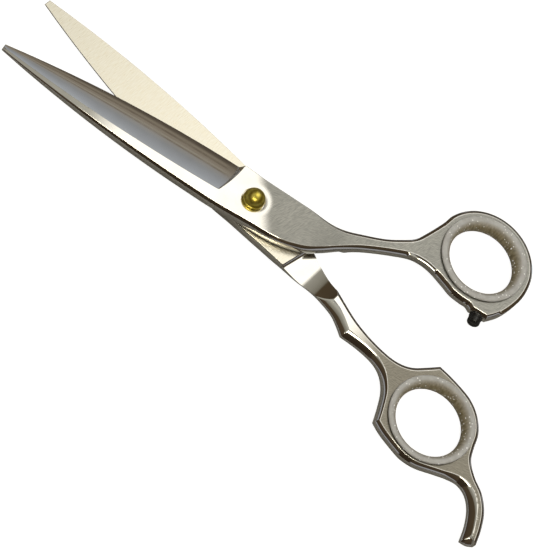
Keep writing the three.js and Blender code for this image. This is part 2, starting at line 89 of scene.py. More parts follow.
BLADE_PIVOT = next(joint for joint in frame["joints"] if joint["name"] == "blade_pivot")
OPENING = math.radians(-BLADE_PIVOT["range_deg"][0])
THUMB_TURN = OPENING / 2
FINGER_TURN = -OPENING / 2
THUMB_PLACE = Matrix.Rotation(THUMB_TURN, 4, "Z")
FINGER_PLACE = Matrix.Rotation(FINGER_TURN, 4, "Z")

PLATE_THICKNESS = 3.0  # of both plates at the pivot
HANDLE_BACK = corners("thumb_half")[0].z
THUMB_FRONT = corners("thumb_half")[1].z
PLATE_BACK = corners("finger_half")[0].z
HANDLE_FRONT = corners("finger_half")[1].z
THUMB_RIDE = THUMB_FRONT - PLATE_THICKNESS
FINGER_RIDE = PLATE_BACK + PLATE_THICKNESS
HANDLE_MIDDLE = (HANDLE_BACK + HANDLE_FRONT) / 2

THUMB_INSERT = ring_of("thumb_ring_insert", THUMB_TURN)
FINGER_INSERT = ring_of("finger_ring_insert", FINGER_TURN)
STUD = ring_of("pivot_stud", THUMB_TURN)
NUT = ring_of("tension_nut", THUMB_TURN)
GLIDE = ring_of("glide_washer", FINGER_TURN)
BUSH = ring_of("pivot_bush", FINGER_TURN)

# -------- driving dimensions

# the blades and their ground faces
BLADE_REACH = 77.0
ROOT_REACH = 8.0
ROOT_HALF_WIDTH = 7.7
TIP_HALF_WIDTH = 1.05
BLADE_TAPER = 2.0
EDGE_THICKNESS = 0.35
LAND_AT_ROOT = 4.4
LAND_AT_TIP = 0.8
LAND_SLOPE = 0.14
GRIND_END = -6.4
GRIND_SKEW = 0.27
GRIND_BULGE = 0.5
RUN_OUT_AT_LAND = 0.25
RUN_OUT_AT_EDGE = 1.35
RUN_OUT_POWER = 1.5
FACE_SLOPE = (PLATE_THICKNESS - EDGE_THICKNESS) / (2 * ROOT_HALF_WIDTH - LAND_AT_ROOT)

# the handles, their rings and the rounding of their edges
BEND_START = 14.0
BEND_END = 30.0
HANDLE_RIM = 1.4
KEEN_RIM = 0.12
LOWER_RIM = (1.05, 1.25)
UPPER_RIM = (0.9, 0.45)
RIM_POWER = 1.19
THUMB_RADIUS = 14.8
FINGER_RADIUS = 13.7
RING_BORE = 11.0
BORE_RIM = 0.3
THUMB_INSERT_HOLE = 9.7
FINGER_INSERT_HOLE = 9.6
INSERT_FUNNEL = 1.8
LUG = {"left": 65.6, "right": 70.8, "end": 8.2}

# the ends of the two ride faces
RIDE_END = {"x": 18.7, "lean": 0.19}
STEP_FLOOR = FINGER_RIDE - 0.75
STEP_START = 18.9
STEP_END = 33.6
STEP_POWER = 3.0
STEP_FACET = 0.9
FACET_POWER = 1.6
CREST = {"turn": -2.8, "lean": 0.082}
THUMB_SHOULDER = {"x": 34.0, "y": -1.0, "angle": math.radians(158.6), "width": 2.4, "rim_width": 3.0}

# the pivot and the bumper
FIT_GAP = 0.15
NECK_GAP = 0.07
GLIDE_GAP = 0.05
BUSH_GAP = 0.075
NECK_RADIUS = BUSH["radius"] - 0.5
SHANK_RADIUS = NECK_RADIUS - 0.65
DISH_REACH = 1.2
DISH_DEPTH = 0.12
HEAD_SEAT = THUMB_FRONT - 0.6
COUNTERBORE_FLOOR = BUSH["back"]
BUMPER_TIP = 5.45
BUMPER_CORE = 0.75
BUMPER_RADIUS = 1.8

# where the steel's finishes begin and are full, and the colours of the darkest and lightest satin strokes;
# the finger half's are the thumb half's satin painted darker and browner, as painted shade
PLATE_SATIN = {"lean": 0.62, "start": 0.8, "full": 5.6}
POLISHED_RING = {"start": 4.2, "full": 5.6}
SOFT_MIRROR = {"start": -12, "full": -6}
HANDLE_SATIN = {"start": 38, "full": 54}
THUMB_SATIN = ((0.26, 0.26, 0.245), (0.52, 0.515, 0.48))
# painted shade: the finger half's satin is the same finish as the thumb half's, coloured darker and browner
FINGER_SATIN_SHADED = ((0.21, 0.195, 0.165), (0.40, 0.375, 0.315))

# the spacing of the meshes' points
EASE = 0.05
OUTLINE_STEP = 0.45
LATTICE_STEP = 0.62
LATTICE_GAP = 0.4 * LATTICE_STEP
ROW_GAP = 0.12
ROW_TOLERANCE = 0.002
HOLE_GAP = 0.05
CREASE_FLANK = 0.06
RIM_STEPS = 12
ROUND = 96
TRIANGLE_TOLERANCE = 1e-5
MERGE_DISTANCE = 1e-8  # metres
SHARP_ANGLE = math.radians(38)


# -------- plane geometry


def circle(x, y, radius, start, stop, steps):
    """Points along an arc, angles in degrees, both ends included."""
    angles = np.radians(np.linspace(start, stop, steps + 1))
    return np.column_stack([x + radius * np.cos(angles), y + radius * np.sin(angles)])


def full_circle(x, y, radius):
    """Points round a whole circle, each once."""
    return circle(x, y, radius, 0, 360, ROUND)[:-1]


def smooth_run(points, step):
    """Points about a step apart on the smooth curve through the given ones, without the last."""
    last = len(points) - 1
    fine_steps = 24
    t = np.linspace(0, 1, fine_steps, endpoint=False)[:, None]
    dense = []
    for i in range(last):
        before, after = points[max(i - 1, 0)], points[min(i + 2, last)]
        start, end = points[i], points[i + 1]
        leave = (end - before) / 2
        arrive = (after - start) / 2
        cubic = 2 * start - 2 * end + leave + arrive
        square = 3 * end - 3 * start - 2 * leave - arrive
        dense.append(cubic * t**3 + square * t**2 + leave * t + start)
    dense = np.vstack([*dense, points[-1:]])
    travelled = np.concatenate([[0], np.cumsum(np.linalg.norm(np.diff(dense, axis=0), axis=1))])
    count = max(1, round(travelled[-1] / step))
    places = np.linspace(0, travelled[-1], count + 1)[:-1]
    return np.column_stack([np.interp(places, travelled, dense[:, axis]) for axis in (0, 1)])


def outline_of(runs):
    """A closed outline made of smooth runs that meet at sharp corners, set in by a hair from the CAD's."""
    closed = [np.vstack([run, following[:1]]) for run, following in zip(runs, runs[1:] + runs[:1])]
    return inset(np.vstack([smooth_run(run, OUTLINE_STEP) for run in closed]), EASE)


def inset(loop, distance):
    """The loop moved to its left, where the material is, by one distance or by one for each point."""
    onward = np.roll(loop, -1, axis=0) - loop
    onward /= np.linalg.norm(onward, axis=1)[:, None]
    along = onward + np.roll(onward, 1, axis=0)
    left = np.column_stack([-along[:, 1], along[:, 0]])
    sharpest = 0.5
    spread = np.maximum(sharpest, (left**2).sum(axis=1) / 2)
    return loop + left * (distance / spread)[:, None]


def distance_to(loop, points):
    """Distance from each point to a closed loop of close-set points, and the nearest of those."""
    batch = 2000
    nearest = np.empty(len(points), int)
    for part in np.array_split(np.arange(len(points)), 1 + len(points) // batch):
        nearest[part] = ((points[part, None] - loop[None]) ** 2).sum(axis=2).argmin(axis=1)
    best = np.full(len(points), np.inf)
    for offset in (-1, 0):
        start = loop[(nearest + offset) % len(loop)]
        edge = loop[(nearest + offset + 1) % len(loop)] - start
        share = np.clip(((points - start) * edge).sum(axis=1) / (edge**2).sum(axis=1), 0, 1)
        best = np.minimum(best, np.linalg.norm(points - start - share[:, None] * edge, axis=1))
    return best, nearest


def inside(loop, points):
    """Which points lie inside a closed loop."""
    x, y = points.T
    crossed = np.zeros(len(points), bool)
    for (ax, ay), (bx, by) in zip(loop, np.roll(loop, -1, axis=0)):
        if ay != by:
            crossed ^= ((ay > y) != (by > y)) & (x < (bx - ax) * (y - ay) / (by - ay) + ax)
    return crossed


def smoothstep(x, start, stop):
    """0 before start, 1 past stop, and a smooth rise between them."""
    t = np.clip((x - start) / (stop - start), 0, 1)
    return t * t * (3 - 2 * t)


# -------- blade section


def blade_half_width(x):
    """Half of the blade's width, which tapers from the root to the tip."""
    along = np.maximum(0, (-x - ROOT_REACH) / (BLADE_REACH - ROOT_REACH))
    return ROOT_HALF_WIDTH - (ROOT_HALF_WIDTH - TIP_HALF_WIDTH) * along**BLADE_TAPER


def land_width(x):
    """Width of the flat land that the grinding leaves along the spine."""
    along = (-x - ROOT_REACH) / (BLADE_REACH - ROOT_REACH)
    return LAND_AT_ROOT + (LAND_AT_TIP - LAND_AT_ROOT) * along


def plate_thickness(x):
    """Thickness up to the flat outer face, thinned past the pivot."""
    thinned = HANDLE_FRONT - THUMB_RIDE
    blade = EDGE_THICKNESS + FACE_SLOPE * ground_width(np.minimum(x, -ROOT_REACH))
    return blade + (thinned - blade) * smoothstep(x, BEND_START, BEND_END)


def land_line(x):
    """Where the flat land meets the ground face, with the cutting edge on the +Y side."""
    return land_width(x) - blade_half_width(x)


def ground_width(x):
    """Width of the ground face, from the land to the cutting edge."""
    return 2 * blade_half_width(x) - land_width(x)


def grind_end(y):
    """Where the ground face stops: a line that leans and bulges towards the pivot."""
    half = ground_width(-ROOT_REACH) / 2
    from_middle = (y - ROOT_HALF_WIDTH + half) / half
    return GRIND_END + GRIND_SKEW * (y - ROOT_HALF_WIDTH) + GRIND_BULGE * (1 - from_middle**2)


def run_out(y):
    """Length of the slope that ends the ground face: hardly any at the land, most at the cutting edge."""
    share = np.clip((y - land_line(-ROOT_REACH)) / ground_width(-ROOT_REACH), 0, 1)
    return RUN_OUT_AT_LAND + (RUN_OUT_AT_EDGE - RUN_OUT_AT_LAND) * share


def outer_face(x, y):
    """Height of a plate's outer face over its ride face, with the cutting edge on the +Y side."""
    station = np.minimum(x, -ROOT_REACH)
    from_land = np.maximum(0, y - land_line(station))
    drop = from_land * (LAND_SLOPE + (FACE_SLOPE - LAND_SLOPE) * from_land / ground_width(station))
    ended = np.clip((x - grind_end(y)) / run_out(y) + 1, 0, 1)
    return plate_thickness(x) - drop * (1 - ended**RUN_OUT_POWER)


def blade_edge(side):
    """One edge of the blade, from the root to the tip, on the side given by +1 or -1."""
    reach = np.array([ROOT_REACH, 16, 26, 36, 46, 55, 63, 70, BLADE_REACH])
    return np.column_stack([-reach, side * blade_half_width(-reach)])


def grind_features(side):
    """Creases and rows of points where the ground face meets the land and the plate."""
    tip_gap, end_gap, spacing = 1.2, 0.1, 0.6
    land_gap, end_points = 0.04, 34
    root_land = land_line(-ROOT_REACH)
    x = np.arange(-BLADE_REACH + tip_gap, grind_end(root_land) - end_gap, spacing)
    land = np.column_stack([x, land_line(x)])
    y = np.linspace(root_land + land_gap, ROOT_HALF_WIDTH, end_points)
    end = np.column_stack([grind_end(y), y])
    foot = end - np.column_stack([run_out(y), 0 * y])
    rows = [end + (foot - end) * share for share in (1.05, 0.85, 0.7, 0.5, 0.3, 0.12)]
    rows += [end + (CREASE_FLANK, 0), land + (0, CREASE_FLANK), land - (0, CREASE_FLANK)]
    mirror = (1, side)
    return [crease * mirror for crease in (land, end, foot)], [row * mirror for row in rows]


# -------- outlines in the half frames


def thumb_outline():
    """From the tip along the spine, round the ring and back along the cutting edge."""
    ring = (THUMB_INSERT["x"], THUMB_INSERT["y"], THUMB_RADIUS)
    lower = [
        (2, -7.2), (7, -7.1), (11, -6.7), (15, -5.7), (19, -4.1), (23, -1.3), (27, 2.1), (31, 5.2),
        (35, 7.6), (40, 10.2), (44.5, 12.2), (48, 12.7), (51.5, 12.2),
    ]
    lug_left = [(64.2, 9.0)]
    lug_right = [(LUG["right"], LUG["end"]), (73.5, 11.4), (75.5, 15.2), (76.9, 19.2)]
    upper = [(45.2, 20.8), (43.3, 17.7), (40.2, 15.2), (36, 12.5), (30.5, 10.0), (25.5, 8.0)]
    plate = [(21, 7.1), (15, 7.1), (7, 7.2), (0, 7.3)]
    return outline_of([
        np.vstack([blade_edge(-1)[::-1], lower, circle(*ring, -118, -90, 2), lug_left]),
        np.array([(LUG["left"], LUG["end"])]),
        np.vstack([lug_right, circle(*ring, -3, 168, 11), upper, plate, blade_edge(1)[:-1]]),
        np.array([(-BLADE_REACH, TIP_HALF_WIDTH)]),
    ])


def finger_outline():
    """From the tip along the cutting edge, round the tang and the ring, and back along the spine."""
    ring = (FINGER_INSERT["x"], FINGER_INSERT["y"], FINGER_RADIUS)
    below = [
        (0, -7.1), (7, -6.7), (13, -6.3), (18, -6.1), (23, -6.2), (28, -5.9), (32, -6.0), (36, -6.5),
        (39, -7.7),
    ]
    knuckle = [
        (41.8, -9.2), (46, -8.4), (50, -8.0), (53.5, -8.2), (56.6, -9.5), (59.4, -12.2), (61.6, -16.2),
    ]
    lower_point = [(63.5, -20.5), (67.2, -21.6)]
    tang_inside = [(84.6, -18.4), (87.4, -16.9), (90.4, -15.9), (93.6, -16.5), (96.5, -18.9), (98.9, -22.9)]
    tang_end = [(100.5, -27.3), (102.6, -26.7)]
    tang_outside = [
        (104.2, -25.4), (102.7, -21.2), (100.2, -16.7), (96.6, -13.4), (92.4, -11.4), (89, -8.8),
    ]
    upper_point = [
        (66.1, 5.1), (63.6, 1.8), (61, -1.2), (58, -3.0), (54, -3.9), (48, -4.0), (42, -3.3), (36, -1.7),
    ]
    above = [(30, 0.2), (26, 1.8), (22, 3.5), (18, 5.1), (14, 6.3), (10, 6.9), (5, 7.2), (0, 7.3)]
    return outline_of([
        np.vstack([blade_edge(-1)[::-1], below]),
        np.array(knuckle),
        np.vstack([lower_point, circle(*ring, -92, -62, 3), tang_inside]),
        np.array(tang_end),
        np.vstack([tang_outside, [(87.3, -5.6)], circle(*ring, 30, 88, 4), [(70, 5.2)]]),
        np.vstack([upper_point, above, blade_edge(1)[:-1]]),
        np.array([(-BLADE_REACH, TIP_HALF_WIDTH)]),
    ])


# -------- the faces of the two halves


# A level function gives a face's height at each place, lowered by the given amount of its edge rounding.


def thumb_front(x, y, lowered):
    """The plate's outer face with its grinding, and a shallow dish round the pivot's head."""
    from_head = (np.hypot(x, y) - STUD["radius"] - FIT_GAP) / DISH_REACH
    dish = DISH_DEPTH * np.clip(1 - from_head, 0, 1) ** 2
    return THUMB_RIDE + outer_face(x, y) - dish - lowered


def past_thumb_shoulder(x, y):
    """Distance beyond the line where the thumb half becomes thicker, towards its ring."""
    line = THUMB_SHOULDER
    return (x - line["x"]) * math.sin(line["angle"]) - (y - line["y"]) * math.cos(line["angle"])


def thumb_back(x, y, lowered):
    """The thumb half's ride face, and the slope down to the back of its handle."""
    share = smoothstep(past_thumb_shoulder(x, y), 0, THUMB_SHOULDER["width"])
    return THUMB_RIDE + (HANDLE_BACK - THUMB_RIDE) * share + lowered


def past_ride(x, y):
    """Distance beyond the line where the finger half's ride face ends."""
    return x - RIDE_END["x"] - RIDE_END["lean"] * y


def finger_front(x, y, lowered):
    """The ride face, a short facet down from it, and a long hollow climb into the rounded handle."""
    beyond = past_ride(x, y)
    sunk = np.clip(beyond / STEP_FACET, 0, 1)
    facet = FINGER_RIDE - (FINGER_RIDE - STEP_FLOOR) * (1 - (1 - sunk) ** FACET_POWER)
    climbed = np.clip((x - STEP_START) / (STEP_END - STEP_START), 0, 1)
    climb = (HANDLE_FRONT - STEP_FLOOR) * climbed**STEP_POWER
    step = np.minimum(np.where(climbed < 1, facet + climb, HANDLE_FRONT), HANDLE_FRONT - lowered)
    return np.where(beyond <= 0, FINGER_RIDE - lowered, step)


def crest_line(y):
    """About where the climb comes out at the rounded handle's face."""
    return STEP_END - CREST["lean"] * np.maximum(0, CREST["turn"] - y) ** 3


def finger_back(x, y, lowered):
    """The finger half's outer face, the mirror image of the thumb half's."""
    return FINGER_RIDE - outer_face(x, -y) + lowered


def thumb_middle(x):
    """A line along the thumb half that tells its lower edge from its upper one."""
    return np.interp(x, [0, 15, 23, 31, 40], [0, 0.5, 3, 7.5, 12])


def finger_middle(x):
    """A line along the finger half that tells its lower edge from its upper one."""
    places = [0, 18, 26, 30, 36, 42, 84, 88, 92, 96, 100, 102.5]
    return np.interp(x, places, [0, -0.5, -2, -2.9, -4.1, -6, -10, -12, -13.5, -16, -21, -26])


# A rounding is a width across the face and a depth down the wall, here for each point of the outline.


def polished_border(x):
    """Width of the polished strip between a satin face and its rounded edge."""
    return np.interp(x, [20, 36], [0.05, 0.16])


def outer_rims(x, spine_side):
    """Rounding round a plate's outer face: broad along the spine, keen along the cutting edge."""
    places = [-BLADE_REACH, -60, -ROOT_REACH, BEND_START, BEND_END]
    spine = np.interp(x, places, [0.2, 0.45, 0.8, 0.8, HANDLE_RIM])
    keen = np.interp(x, [-ROOT_REACH, 0, BEND_START, BEND_END], [0.1, 0.3, 0.45, HANDLE_RIM])
    rim = np.where(spine_side, spine, keen)
    return np.column_stack([rim, rim])


def fitted(front, back, thickness):
    """The two roundings of one edge, made smaller where the metal is too thin for both."""
    share_of_metal = 0.85
    squeeze = np.minimum(1, share_of_metal * thickness / (front[:, 1] + back[:, 1]))[:, None]
    return front * squeeze, back * squeeze


def thumb_rims(outline):
    """The rounding of the thumb half's front and back edges."""
    x, y = outline.T
    share = smoothstep(past_thumb_shoulder(x, y), 0, THUMB_SHOULDER["rim_width"])
    back = KEEN_RIM + (HANDLE_RIM - KEEN_RIM) * share
    thickness = thumb_front(x, y, 0) - thumb_back(x, y, 0)
    below = y < thumb_middle(x)
    front = outer_rims(x, below)
    in_handle = smoothstep(x, BEND_START, BEND_END)[:, None]
    front += (np.where(below[:, None], LOWER_RIM, UPPER_RIM) - front) * in_handle
    return fitted(front, np.column_stack([back, back]), thickness)


def finger_rims(outline):
    """The rounding of the finger half's front and back edges."""
    x, y = outline.T
    below = y < finger_middle(x)
    narrow, low = LOWER_RIM
    places = [20, 26, 42, 58, 86, 94]
    width = np.interp(x, places, [KEEN_RIM, 2.6, 2.2, narrow, narrow, 2.0])
    depth = np.interp(x, places, [KEEN_RIM, 1.7, 1.6, low, low, 1.6])
    above = np.column_stack([np.interp(x, places[:2], [KEEN_RIM, size]) for size in UPPER_RIM])
    front = np.where(below[:, None], np.column_stack([width, depth]), above)
    top = np.where(past_ride(x, y) > 0, HANDLE_FRONT, FINGER_RIDE)
    return fitted(front, outer_rims(x, ~below), top - finger_back(x, y, 0))


def ring_bore(insert):
    """The hole in a metal ring: its place and its profile from the front to the back."""
    rounding = np.radians(np.linspace(0, 90, 5))
    radii = RING_BORE + BORE_RIM * (1 - np.sin(rounding))
    front = [(r, HANDLE_FRONT - BORE_RIM * (1 - math.cos(a))) for r, a in zip(radii, rounding)]
    back = [(r, HANDLE_BACK + HANDLE_FRONT - z) for r, z in front[::-1]]
    return {"x": insert["x"], "y": insert["y"], "profile": front + back}


def thumb_pivot_hole():
    """The head's recess, the neck's bore and the glide washer's pocket, from the front to the back."""
    chamfer = 0.06
    recess = STUD["radius"] + FIT_GAP
    recess_top = THUMB_FRONT - DISH_DEPTH
    bore = NECK_RADIUS + NECK_GAP
    pocket = GLIDE["radius"] + FIT_GAP
    pocket_floor = GLIDE["front"] + GLIDE_GAP
    profile = [
        (recess + chamfer, recess_top), (recess, recess_top - chamfer), (recess, HEAD_SEAT),
        (bore, HEAD_SEAT), (bore, pocket_floor), (pocket, pocket_floor), (pocket, THUMB_RIDE),
    ]
    return {"x": 0, "y": 0, "profile": profile}


def finger_pivot_hole():
    """The bush's bore and the pocket for the washers and the nut, from the front to the back."""
    chamfer = 0.12
    bore = BUSH["radius"] + BUSH_GAP
    pocket = NUT["radius"] + FIT_GAP
    profile = [
        (bore, FINGER_RIDE), (bore, COUNTERBORE_FLOOR), (pocket, COUNTERBORE_FLOOR),
        (pocket, PLATE_BACK + chamfer), (pocket + chamfer, PLATE_BACK),
    ]
    return {"x": 0, "y": 0, "profile": profile}


# -------- mesh of a half


def lattice(outline, rims, holes, rows):
    """Evenly spread points inside the outline, clear of its rims, the holes and the rows of points."""
    low, high = outline.min(axis=0), outline.max(axis=0)
    columns = np.arange(low[0], high[0], LATTICE_STEP)
    lines = np.arange(low[1], high[1], LATTICE_STEP * math.sqrt(3) / 2)
    x, y = np.meshgrid(columns, lines)
    x[1::2] += LATTICE_STEP / 2
    points = np.column_stack([x.ravel(), y.ravel()])
    points = points[inside(outline, points)]
    clearance, nearest = distance_to(outline, points)
    points = points[clearance > rims[nearest, 0] + LATTICE_GAP]
    for hole in holes:
        from_centre = np.hypot(points[:, 0] - hole["x"], points[:, 1] - hole["y"])
        points = points[from_centre > hole["radius"] + LATTICE_GAP]
    from_rows, _ = distance_to(np.vstack(rows), points)
    return points[from_rows > LATTICE_GAP]


def rim_rows(outline, rims):
    """Rows of points up a rounded rim, from the outline in, and how far each point lies below the face."""
    width, depth = rims.T
    rows = []
    for angle in np.radians(np.linspace(0, 90, RIM_STEPS + 1))[1:]:
        across = 1 - math.cos(angle) ** (2 / RIM_POWER)
        rows.append((width * across, depth * (1 - math.sin(angle) ** (2 / RIM_POWER))))
    border = polished_border(outline[:, 0])
    rows += [(width + border * share, 0 * depth) for share in (0.2, 1)]
    for distance, lowered in rows:
        points = inset(outline, distance)
        clear = distance_to(outline, points)[0] > distance - ROW_TOLERANCE
        yield points[clear], lowered[clear]


def clear_part(line, outline, rims, holes):
    """The points of a line that lie inside the outline, clear of its rims and of the holes."""
    clearance, nearest = distance_to(outline, line)
    kept = inside(outline, line) & (clearance > rims[nearest, 0] + ROW_GAP)
    for hole in holes:
        kept &= np.hypot(line[:, 0] - hole["x"], line[:, 1] - hole["y"]) > hole["radius"] + HOLE_GAP
    return line[kept]


def skin(outline, rims, holes, face, side):
    """One face of a half, side +1 for the front and -1 for the back.

    The outline's points come first, then each hole's, so that walls can join two faces. flat is 1 on the
    face itself, and falls to 0 across a narrow border before its rims.
    """
    loops = [outline] + [full_circle(hole["x"], hole["y"], hole["radius"]) for hole in holes]
    parts = list(loops)
    lowered = [rims[:, 1]] + [np.zeros(len(loop)) for loop in loops[1:]]
    edges = []
    start = 0
    for loop in loops:
        edges += [(start + i, start + (i + 1) % len(loop)) for i in range(len(loop))]
        start += len(loop)
    for points, drop in rim_rows(outline, rims):
        parts.append(points)
        lowered.append(drop)
        start += len(points)
    creases = [clear_part(crease, outline, rims, holes) for crease in face["creases"]]
    rows = [clear_part(row, outline, rims, holes) for row in face["rows"]]
    for crease in creases:
        edges += [(start + i, start + i + 1) for i in range(len(crease) - 1)]
        start += len(crease)
    on_face = np.vstack([*creases, *rows, lattice(outline, rims, holes, creases + rows)])
    plane = np.vstack([*parts, on_face])
    lowered = np.concatenate([*lowered, np.zeros(len(on_face))])
    clearance, nearest = distance_to(outline, plane)
    return {
        "points": np.column_stack([plane, face["level"](plane[:, 0], plane[:, 1], lowered)]),
        "triangles": triangulated(plane, edges, holes)[:, ::side],
        "sizes": [len(loop) for loop in loops],
        "flat": np.clip((clearance - rims[nearest, 0]) / polished_border(plane[:, 0]), 0, 1),
    }


def triangulated(plane, edges, holes):
    """Triangles between the points, kept within the outline and out of the holes."""
    drawn_share = 0.999  # a drawn circle's flats lie a little inside its radius
    found = delaunay_2d_cdt([Vector(point) for point in plane], edges, [], 1, TRIANGLE_TOLERANCE)
    source = [min(origins) for origins in found[3]]
    triangles = np.array([[source[i] for i in face] for face in found[2]])
    middles = plane[triangles].mean(axis=1)
    for hole in holes:
        from_centre = np.hypot(middles[:, 0] - hole["x"], middles[:, 1] - hole["y"])
        outside = from_centre > hole["radius"] * drawn_share
        triangles = triangles[outside]
        middles = middles[outside]
    return triangles


def half_mesh(name, outline, rims, holes, faces, finishes):
    """A closed mesh in metres: front and back faces, the wall round them, and the holes between them."""
    skins = {}
    for end, rim, side, last in (("front", rims[0], 1, 0), ("back", rims[1], -1, -1)):
        cut = [{**hole, "radius": hole["profile"][last][0]} for hole in holes]
        skins[end] = skin(outline, rim, cut, faces[end], side)
    front, back = skins["front"], skins["back"]
    points = [front["points"], back["points"]]
    shift = len(front["points"])
    polygons = front["triangles"].tolist() + (back["triangles"] + shift).tolist()
    total = shift + len(back["points"])
    walls = [{"profile": []}, *holes]
    for wall, start, size in zip(walls, np.cumsum([0, *front["sizes"]]), front["sizes"]):
        upper = start + np.arange(size)
        lower = upper + shift
        for radius, level in wall["profile"][1:-1]:
            ring = full_circle(wall["x"], wall["y"], radius)
            points.append(np.column_stack([ring, np.full(size, level)]))
            following = total + np.arange(size)
            total += size
            polygons += band(upper, following)
            upper = following
        polygons += band(upper, lower)
    mesh = bpy.data.meshes.new(name)
    mesh.from_pydata((np.vstack(points) * MM).tolist(), [], polygons)
    mark_finishes(mesh, skins, finishes)
    return finished(mesh)


def mark_finishes(mesh, skins, finishes):
    """Writes how strong each finish is at each point, from 0 to 1, into an attribute of its name."""
    starts = {"front": 0, "back": len(skins["front"]["points"])}
    for finish, zones in finishes.items():
        values = np.zeros(len(mesh.vertices), np.float32)
        for end, zone in zones.items():
            x, y, _ = skins[end]["points"].T
            values[starts[end] : starts[end] + len(x)] = zone(x, y) * skins[end]["flat"]
        mesh.attributes.new(finish, "FLOAT", "POINT").data.foreach_set("value", values)


def band(upper, lower):
    """Quads between two rings of vertex numbers."""
    return np.column_stack([upper, lower, np.roll(lower, -1), np.roll(upper, -1)]).tolist()


def finished(mesh):
    """Cleans a mesh, turns its faces outwards and shades it smooth but for its sharp edges."""
    work = bmesh.new()
    work.from_mesh(mesh)
    bmesh.ops.remove_doubles(work, verts=work.verts, dist=MERGE_DISTANCE)
    bmesh.ops.recalc_face_normals(work, faces=work.faces)
    work.to_mesh(mesh)
    work.free()
    mesh.shade_smooth()
    mesh.set_sharp_from_angle(angle=SHARP_ANGLE)
    return mesh


def placed(name, mesh, material, body, nodes, place=None):
    """Puts a piece at its place in the shared frame, riding on its body and standing for its CAD nodes."""
    mesh.transform(place or Matrix.Identity(4))
    piece = bpy.data.objects.new(name, mesh)
    bpy.context.scene.collection.objects.link(piece)
    mesh.materials.append(material)
    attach(piece, body)
    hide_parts(*nodes)


def satin_plate(x, y):
    """Where the thumb half's front is satin: past a slanting line and clear of the head's polished ring."""
    past_line = smoothstep(x + PLATE_SATIN["lean"] * y, PLATE_SATIN["start"], PLATE_SATIN["full"])
    return past_line * smoothstep(np.hypot(x, y), POLISHED_RING["start"], POLISHED_RING["full"])


def shoulder_rows():
    """Rows of points along the slope where the thumb half becomes thicker."""
    length, spacing = 30, 0.4
    line = THUMB_SHOULDER
    away = np.array([math.sin(line["angle"]), -math.cos(line["angle"])])
    along = np.array([math.cos(line["angle"]), math.sin(line["angle"])])
    foot = np.array([line["x"], line["y"]]) + np.arange(0, length, spacing)[:, None] * along
    return [foot + away * line["width"] * share for share in np.linspace(-0.1, 1.1, 13)]


def step_features():
    """The crease at the end of the finger half's ride face, and rows of points along the step behind it."""
    half_width, spacing = 9, 0.3
    y = np.arange(-half_width, half_width, spacing)
    end = np.column_stack([RIDE_END["x"] + RIDE_END["lean"] * y, y])
    flanks = [end + (beyond, 0) for beyond in (-CREASE_FLANK, CREASE_FLANK)]
    facet = [end + (STEP_FACET * share, 0) for share in (0.2, 0.4, 0.6, 0.8, 1)]
    stations = np.arange(STEP_START + 1.2, STEP_END - 0.5, 0.5)
    climb = [np.column_stack([np.full(len(y), x), y]) for x in stations]
    crest = [np.column_stack([crest_line(y) + beyond, y]) for beyond in (-0.4, -0.25, -0.1, 0.1, 0.25, 0.4)]
    return [end], [*flanks, *facet, *climb, *crest]


def thumb_half():
    """The front forging: blade, plate, shank, thumb ring and the bumper's lug."""
    name = "thumb_half_steel"
    outline = thumb_outline()
    creases, rows = grind_features(1)
    recess = STUD["radius"] + FIT_GAP
    rows += [full_circle(0, 0, recess + DISH_REACH * share) for share in (0.15, 0.4, 0.7, 1.0)]
    faces = {
        "front": {"level": thumb_front, "creases": creases, "rows": rows},
        "back": {"level": thumb_back, "creases": [], "rows": shoulder_rows()},
    }
    finishes = {
        "satin": {"front": satin_plate},
        "soft": {"front": lambda x, y: smoothstep(x, SOFT_MIRROR["start"], SOFT_MIRROR["full"])},
        "ground": {"back": lambda x, y: past_thumb_shoulder(x, y) < 0},
    }
    holes = [ring_bore(THUMB_INSERT), thumb_pivot_hole()]
    mesh = half_mesh(name, outline, thumb_rims(outline), holes, faces, finishes)
    material = steel(THUMB_TURN, *THUMB_SATIN)
    placed(name, mesh, material, "thumb_side", ["thumb_half"], THUMB_PLACE)


def finger_half():
    """The rear forging: blade, plate, shank with its knuckle, finger ring and tang."""
    name = "finger_half_steel"
    outline = finger_outline()
    front_creases, front_rows = step_features()
    back_creases, back_rows = grind_features(-1)
    faces = {
        "front": {"level": finger_front, "creases": front_creases, "rows": front_rows},
        "back": {"level": finger_back, "creases": back_creases, "rows": back_rows},
    }
    finishes = {
        "satin": {"front": lambda x, y: smoothstep(x, HANDLE_SATIN["start"], HANDLE_SATIN["full"])},
        "ground": {"front": lambda x, y: past_ride(x, y) <= 0},
    }
    holes = [ring_bore(FINGER_INSERT), finger_pivot_hole()]
    mesh = half_mesh(name, outline, finger_rims(outline), holes, faces, finishes)
    # the finger half's satin colours are painted darker: painted shade
    material = steel(FINGER_TURN, *FINGER_SATIN_SHADED)
    placed(name, mesh, material, "finger_side", ["finger_half"], FINGER_PLACE)


# -------- turned pieces


def arc(centre, radius, start, stop, steps):
    """Profile points along an arc, as (radius, level) pairs; angles in degrees."""
    return [tuple(point) for point in circle(*centre, radius, start, stop, steps)]


def turned_mesh(name, profile, closed):
    """A body turned about Z from (radius, level) pairs.

    A closed profile makes a ring, and an open one starts and ends on the axis.
    """
    work = bmesh.new()
    rings = []
    for radius, level in profile:
        if radius == 0:
            rings.append([work.verts.new((0, 0, level * MM))])
        else:
            ring = full_circle(0, 0, radius)
            rings.append([work.verts.new((x * MM, y * MM, level * MM)) for x, y in ring])
    pairs = zip(rings, rings[1:] + rings[:1]) if closed else zip(rings, rings[1:])
    for first, second in pairs:
        for i in range(ROUND):
            places = ((first, i), (first, i + 1), (second, i + 1), (second, i))
            around = [ring[k % len(ring)] for ring, k in places]
            work.faces.new(list(dict.fromkeys(around)))
    mesh = bpy.data.meshes.new(name)
    work.to_mesh(mesh)
    work.free()
    return finished(mesh)


